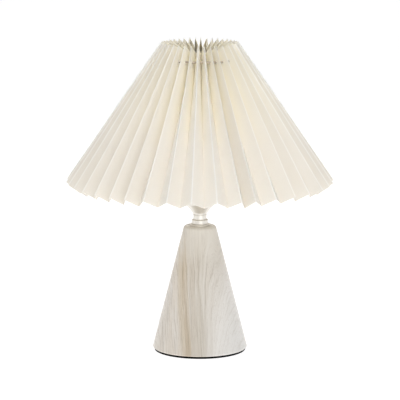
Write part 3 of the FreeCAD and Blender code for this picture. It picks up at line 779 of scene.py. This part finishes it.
def makeShade():
    look = shadeLook
    punches = bpy.data.objects.new("punchBars", appliedMesh("punchBars", holeSpots(), [("NODES", {
        "tree": punchTree(), "Ring Radius": look["ringRadius"], "Ring Height": look["ringHeight"],
        "Hole Radius": look["holeRadius"], "Seed": look["seed"], "Finish": paper,
    })]))
    scene.collection.objects.link(punches)
    mesh = appliedMesh("pleatedShade", flatStrip(), [
        ("NODES", {
            "tree": foldingTree(), "Low Radius": look["lowRadius"], "Low Height": look["lowHeight"],
            "High Radius": look["highRadius"], "High Height": look["highHeight"],
            "Panel Width": look["panelWidth"], "Bow": look["bow"], "Waver": look["waver"],
            "Lap Gap": look["lapGap"], "Seed": look["seed"], "Finish": paper,
        }),
        ("SOLIDIFY", {"thickness": look["paper"], "offset": 0.0, "use_quality_normals": True}),
        ("BOOLEAN", {"operation": "DIFFERENCE", "object": punches, "solver": "EXACT"}),
    ])
    bpy.data.objects.remove(punches)
    mesh.shade_smooth()
    mesh.set_sharp_from_angle(angle=math.radians(look["sharp"]))
    return addPiece("pleatedShade", mesh, "shade", "pleated_shade", paper)


shade = makeShade()
print("folded and punched the shade:", len(shade.data.polygons), "faces")


neckLook = {
    # node: corners as (radius, height, rounding) in millimetres
    "neck_washer": [(5.3, 171.5, 0.1), (13.5, 171.5, 0.25), (13.5, 173.7, 0.8), (5.3, 173.7, 0.1)],
    "neck_collar": [(5.3, 173.7, 0.1), (11.0, 173.7, 0.4), (11.0, 179.7, 0.8), (5.3, 179.7, 0.1)],
    # the tube's top steps in, which leaves the dark joint line under the cup
    "neck_tube": [(7.8, 179.7, 0.1), (9.0, 179.7, 0.3), (9.0, 186.2, 0.3), (7.95, 186.3, 0),
                  (7.95, 187.6, 0), (7.8, 187.6, 0)],
    "lampholder_cup": [
        (5.3, 187.6, 0.1), (9.8, 187.6, 0.4), *arcCorners((9.8, 188.2), (22.5, 201.9), -46),
        (22.5, 212.6, 0.2), (23.2, 213.3, 0.5), (22.5, 214.0, 0.3), (21.6, 214.0, 0.2),
        *arcCorners((21.6, 202.35), (8.9, 188.65), 46), (8.9, 188.5, 0), (5.3, 188.5, 0.1),
    ],
}
for node, corners in neckLook.items():
    words = node.split("_")
    name = words[0] + words[1].capitalize()
    addPiece(name, lathe(name, corners), "lamp", node, nickel)
print("turned the neck")


turnedLook = {
    # node: piece, body, slot, finish, corners, thread, in millimetres too
    "foot_pad": ("footPad", "lamp", "foot_foam", "footFoam",
                 [(0, 0, 0), (62, 0, 0.5), (62, 3, 0.5), (0, 3, 0)], None),
    "holder_skirt": ("holderSkirt", "lamp", "holder_plastic", "holderPlastic",
                     [(17.62, 214.7, 0.2), (20.5, 214.7, 0.5), (20.5, 217.7, 0.3), (23.2, 217.7, 0.5),
                      (23.2, 220.7, 0.4), (19.75, 220.7, 0.2), (19.75, 244.3, 0.6), (13.62, 244.3, 0.4),
                      (13.62, 220.7, 0), (17.62, 220.7, 0)],
                     {"low": 221.0, "high": 243.4, "inside": 19.0, "pitch": 3.0, "depth": 0.8}),
    "bulb_screw_cap": ("bulbScrewCap", "bulb", "cap_metal", "capMetal",
                       [(12.6, 225.3, 0), (13.1, 225.3, 0.2), (13.1, 244.8, 0.2), (12.6, 244.8, 0)],
                       {"low": 226.0, "high": 241.5, "inside": 12.0, "pitch": 3.63, "depth": 0.85}),
    "bulb_insulator": ("bulbInsulator", "bulb", "cap_glass", "capGlass",
                       [(0, 219.1, 0), (5.8, 219.1, 0.4), (11.0, 224.3, 0.8), (12.6, 225.3, 0.2),
                        (12.6, 226.3, 0), (0, 226.3, 0)], None),
    "bulb_contact": ("bulbContact", "bulb", "brass_parts", "brassParts",
                     [(0, 217.9, 0), (4.8, 217.9, 0.9), (4.8, 219.1, 0), (0, 219.1, 0)], None),
    "bulb_housing": ("bulbHousing", "bulb", "bulb_plastic", "bulbPlastic",
                     [(11.2, 238.8, 0), (12.5, 238.8, 0.1), (12.5, 244.8, 0), (14.5, 244.8, 0.5),
                      *arcCorners((14.6, 245.3), (25.38, 280.0), -160, 16), (25.38, 280.8, 0.2),
                      (23.98, 280.8, 0), *arcCorners((23.9, 280.2), (11.2, 246.8), 160, 12)], None),
    "bulb_globe": ("bulbGlobe", "bulb", "opal_plastic", "opalPlastic",
                   [*arcCorners((25.38, 280.8), (0, 326.8), 30, 40),
                    *arcCorners((0, 325.6), (23.95, 280.8), -28.8, 32)], None),
}
for node, (name, body, slot, finish, corners, thread) in turnedLook.items():
    addPiece(name, lathe(name, corners, thread=thread), body, node, plain[finish])
print("turned", len(turnedLook), "more pieces")


cadFinishes = {
    "base_cone": wood,
    "cord_grommet": plain["grommetPlastic"],
    "base_weight": plain["zincSteel"],
    "rod_washer": plain["zincSteel"],
    "rod_nut": plain["zincSteel"],
    "threaded_rod": plain["zincSteel"],
    "holder_grub_screw": plain["zincSteel"],
    "terminal_screws": plain["zincSteel"],
    "holder_cap": plain["holderPlastic"],
    "shade_ring_nut": plain["holderPlastic"],
    "socket_shell": plain["brassParts"],
    "terminal_clamps": plain["brassParts"],
    "centre_contact": plain["brassParts"],
    "holder_insert": plain["insertCeramic"],
    "fitter_ring": plain["whiteLacquer"],
    "frame_arm_a": plain["whiteLacquer"],
    "frame_arm_b": plain["whiteLacquer"],
    "frame_arm_c": plain["whiteLacquer"],
    "shade_top_ring": plain["ringWire"],
}
for node, material in cadFinishes.items():
    slots = nodes[node].material_slots
    for slot in slots:
        slot.material = material
    if not slots:
        nodes[node].data.materials.append(material)


studio = {
    "floor": 24.0,
    "floorWhite": (0.34, 0.34, 0.34),
    "floorCloud": 1.02,       # times as white in patches
    "floorClouds": 3,         # per metre
    "floorSpan": (0.3, 0.7),
    "floorRough": 0.9,
    "floorGlow": 0.88,        # the lamp stands on a light table
    "white": (1, 1, 1, 1),
    "horizon": 0.39,          # white walls, dimmer overhead
    "zenith": 0.30,
    "wallSpan": (0.1, 0.7),   # sine of the height between which they fade
    "aim": (0, 0, 0.2),
    "lights": {
        "frontLight": dict(place=(0, -3.0, 1.2), size=2.6, power=9),
        "keyLight": dict(place=(1.9, -2.2, 2.3), size=1.6, power=3),
        "fillLight": dict(place=(-2.2, -1.8, 1.2), size=1.8, power=3),
        "topLight": dict(place=(0, -0.2, 1.05), size=0.5, power=3.6),
        "backLight": dict(place=(0, 1.8, 1.3), size=1.4, power=14),
        "lowLight": dict(place=(0.35, -1.3, 0.1), size=0.5, power=1.9),
    },
    "camera": dict(place=(0.0001, -3.343, 0.802), pitch=-10.11, lens=225.9, sensor=36, far=100),
}


def makeFloor():
    half = studio["floor"] / 2
    bm = bmesh.new()
    bm.faces.new([bm.verts.new((x * half, y * half, 0)) for x, y in ((-1, -1), (1, -1), (1, 1), (-1, 1))])
    mesh = bpy.data.meshes.new("floor")
    bm.to_mesh(mesh)
    bm.free()
    material, tree, shader, place = newMaterial("paleFloor")
    white = studio["floorWhite"]
    cloud = [part * studio["floorCloud"] for part in white]
    clouds = noise(tree, place, studio["floorClouds"], detail=2)
    fill(tree, shader, {
        "Base Color": twoTone(tree, clouds, studio["floorSpan"], white, cloud),
        "Roughness": studio["floorRough"],
        "Emission Color": studio["white"],
        "Emission Strength": studio["floorGlow"],
    })
    mesh.materials.append(material)
    floor = bpy.data.objects.new("floor", mesh)
    scene.collection.objects.link(floor)


def makeLight(name, look):
    lamp = bpy.data.lights.new(name, "AREA")
    lamp.shape = "SQUARE"
    lamp.size = look["size"]
    lamp.energy = look["power"]
    light = bpy.data.objects.new(name, lamp)
    light.location = look["place"]
    light.visible_camera = False
    aim = Vector(studio["aim"]) - Vector(look["place"])
    light.rotation_euler = aim.to_track_quat("-Z", "Y").to_euler()
    scene.collection.objects.link(light)


def makeCamera():
    look = studio["camera"]
    lens = bpy.data.cameras.new("camera")
    lens.lens = look["lens"]
    lens.sensor_width = look["sensor"]
    lens.clip_end = look["far"]
    eye = bpy.data.objects.new("camera", lens)
    eye.location = look["place"]
    eye.rotation_euler = (math.radians(90 + look["pitch"]), 0, 0)
    scene.collection.objects.link(eye)
    scene.camera = eye


def makeWalls():
    # the world is a white room around the lamp
    world = bpy.data.worlds.new("studio")
    world.use_nodes = True
    tree = world.node_tree
    parts = tree.nodes.new("ShaderNodeSeparateXYZ")
    tree.links.new(tree.nodes.new("ShaderNodeTexCoord").outputs["Generated"], parts.inputs[0])
    glow = spread(tree, parts.outputs[2], *studio["wallSpan"], studio["horizon"], studio["zenith"])
    fill(tree, tree.nodes["Background"], {"Strength": glow, "Color": studio["white"]})
    scene.world = world


makeFloor()
for name, look in studio["lights"].items():
    makeLight(name, look)
makeCamera()
makeWalls()
scene.view_settings.view_transform = "Standard"
print("set up the studio")
